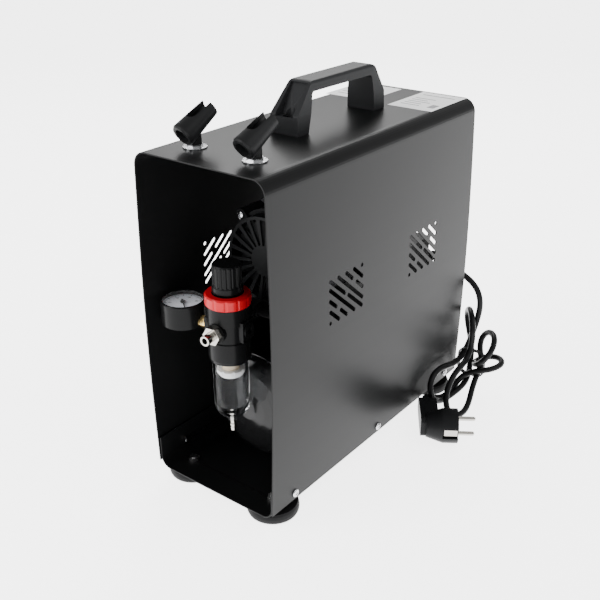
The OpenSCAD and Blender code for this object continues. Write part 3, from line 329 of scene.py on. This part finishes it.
# ---------------------------------------------------------------- edges
SOFT = {"base_tray": 0.3, "handle": 0.9, "pan_screws": 0.2, "hex_bolts": 0.25, "holder_nuts": 0.25,
        "holder_left": 0.4, "holder_right": 0.4, "tank_feet": 0.3, "pump_bracket": 0.3, "crankcase": 0.6,
        "crankcase_cover": 0.4, "cylinder_head": 0.3, "end_bell": 0.5, "switch_box": 0.6, "rocker": 0.3,
        "plug_body": 0.7, "reg_body": 0.4, "lock_ring": 0.4, "knob": 0.25, "gauge_case": 0.25, "gauge_stem": 0.3,
        "outlet_nipple": 0.25, "air_fittings": 0.4, "check_valve": 0.25, "pressure_switch": 0.3,
        "intake_filter": 0.4, "stator": 0.4, "tank_drain": 0.3}
for name, w in SOFT.items():
    o = NODES[name]
    we = o.modifiers.new("weld", "WELD")
    we.merge_threshold = 0.00001
    be = o.modifiers.new("bevel", "BEVEL")
    be.width = w / 1000
    be.segments = 2
    be.limit_method = "ANGLE"
    be.angle_limit = math.radians(38)
    be.harden_normals = False
    o.modifiers.new("normals", "WEIGHTED_NORMAL")

# ---------------------------------------------------------------- dial
REG_TURN = math.radians(7)
GAUGE = Vector((-0.002 - 0.053 * math.cos(REG_TURN), -0.140 - 0.053 * math.sin(REG_TURN), 0.19374))


def dial_piece(name, quads, mat, z):
    verts, faces = [], []
    for q in quads:
        k = len(verts)
        for zz in (0.0, 0.00006):
            for (x, y) in q:
                a = REG_TURN
                verts.append((GAUGE.x + x * math.cos(a) - y * math.sin(a), GAUGE.y + x * math.sin(a) + y * math.cos(a), GAUGE.z + z + zz))
        n = len(q)
        faces.append(tuple(k + i for i in reversed(range(n))))
        faces.append(tuple(k + n + i for i in range(n)))
        for i in range(n):
            j = (i + 1) % n
            faces.append((k + i, k + j, k + n + j, k + n + i))
    me = bpy.data.meshes.new(name)
    me.from_pydata(verts, [], faces)
    me.materials.append(mat)
    o = bpy.data.objects.new(name, me)
    bpy.context.scene.collection.objects.link(o)
    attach(o, "housing")
    return o


def bar(angle, r0, r1, w):
    d = Vector((math.cos(angle), math.sin(angle)))
    e = Vector((-d.y, d.x)) * w / 2
    return [tuple(d * r0 - e), tuple(d * r1 - e), tuple(d * r1 + e), tuple(d * r0 + e)]


ticks = []
for k in range(51):
    ang = math.radians(-45 - 270 * k / 50)
    major = k % 5 == 0
    ticks.append(bar(ang, 0.0158 if major else 0.0168, 0.0182, 0.00055 if major else 0.00028))
arc = []
for k in range(90):
    a0, a1 = math.radians(-45 - 270 * k / 90), math.radians(-45 - 270 * (k + 1) / 90)
    arc.append([(0.0182 * math.cos(a1), 0.0182 * math.sin(a1)), (0.0185 * math.cos(a1), 0.0185 * math.sin(a1)),
                (0.0185 * math.cos(a0), 0.0185 * math.sin(a0)), (0.0182 * math.cos(a0), 0.0182 * math.sin(a0))])
SEG = {"0": "abcdef", "2": "abged", "4": "fgbc", "6": "afgedc", "8": "abcdefg", "1": "bc"}
LINES = {"a": ((-1, 2), (1, 2)), "b": ((1, 2), (1, 0)), "c": ((1, 0), (1, -2)), "d": ((-1, -2), (1, -2)),
         "e": ((-1, -2), (-1, 0)), "f": ((-1, 0), (-1, 2)), "g": ((-1, 0), (1, 0))}
figures = []
for k, label in enumerate(("0", "2", "4", "6", "8", "10")):
    ang = math.radians(-45 - 270 * k / 5)
    cx, cy = 0.0128 * math.cos(ang), 0.0128 * math.sin(ang)
    for i, ch in enumerate(label):
        off = (i - (len(label) - 1) / 2) * 0.0024
        for sgm in SEG[ch]:
            (x0, y0), (x1, y1) = LINES[sgm]
            x0, x1 = x0 * 0.0007 + off, x1 * 0.0007 + off
            y0, y1 = y0 * 0.0007, y1 * 0.0007
            # figures stand upright with the stem side (+X of the gauge) as the foot of the dial
            A, B = Vector((cx - y0, cy + x0)), Vector((cx - y1, cy + x1))
            d = (B - A).normalized()
            e = Vector((-d.y, d.x)) * 0.00018
            A, B = A - d * 0.00018, B + d * 0.00018
            figures.append([tuple(A - e), tuple(B - e), tuple(B + e), tuple(A + e)])
dial_piece("dial_scale", ticks, INK, 0.0)
dial_piece("dial_arc", arc, INK, 0.0001)
dial_piece("dial_figures", figures, INK, 0.0)

# ---------------------------------------------------------------- stage
def plane(name, size, z, mat):
    me = bpy.data.meshes.new(name)
    me.from_pydata([(-size, -size, z), (size, -size, z), (size, size, z), (-size, size, z)], [], [(0, 1, 2, 3)])
    o = bpy.data.objects.new(name, me)
    me.materials.append(mat)
    bpy.context.scene.collection.objects.link(o)
    return o


FLOOR = surface("floor_white", (0.90, 0.90, 0.905), 0.6, grain=60, bump=0.0, vary=0.01, rough_vary=0.02, spec=0.3)
for n_ in FLOOR.node_tree.nodes:
    if n_.type == "BSDF_PRINCIPLED":
        n_.inputs["Emission Color"].default_value = (1, 1, 1, 1)
        n_.inputs["Emission Strength"].default_value = 3.8
plane("floor", 8.0, -0.0003, FLOOR)

world = bpy.data.worlds.new("world")
bpy.context.scene.world = world
world.use_nodes = True
world.node_tree.nodes["Background"].inputs[0].default_value = (1, 1, 1, 1)
world.node_tree.nodes["Background"].inputs[1].default_value = 0.9


def area(name, loc, target, size, power, color=(1, 1, 1)):
    d = bpy.data.lights.new(name, "AREA")
    d.shape = "RECTANGLE"
    d.size, d.size_y = size
    d.energy = power
    d.color = color
    o = bpy.data.objects.new(name, d)
    o.location = loc
    o.rotation_euler = (Vector(target) - Vector(loc)).to_track_quat("-Z", "Y").to_euler()
    bpy.context.scene.collection.objects.link(o)
    return o


area("key", (1.6, 0.4, 1.7), (0, 0, 0.15), (1.4, 1.4), 14)
area("back_left", (-0.9, 1.1, 1.3), (0, 0, 0.35), (0.9, 0.9), 16)
area("front_left", (-0.7, -1.3, 1.0), (0, -0.1, 0.2), (0.8, 0.8), 16)
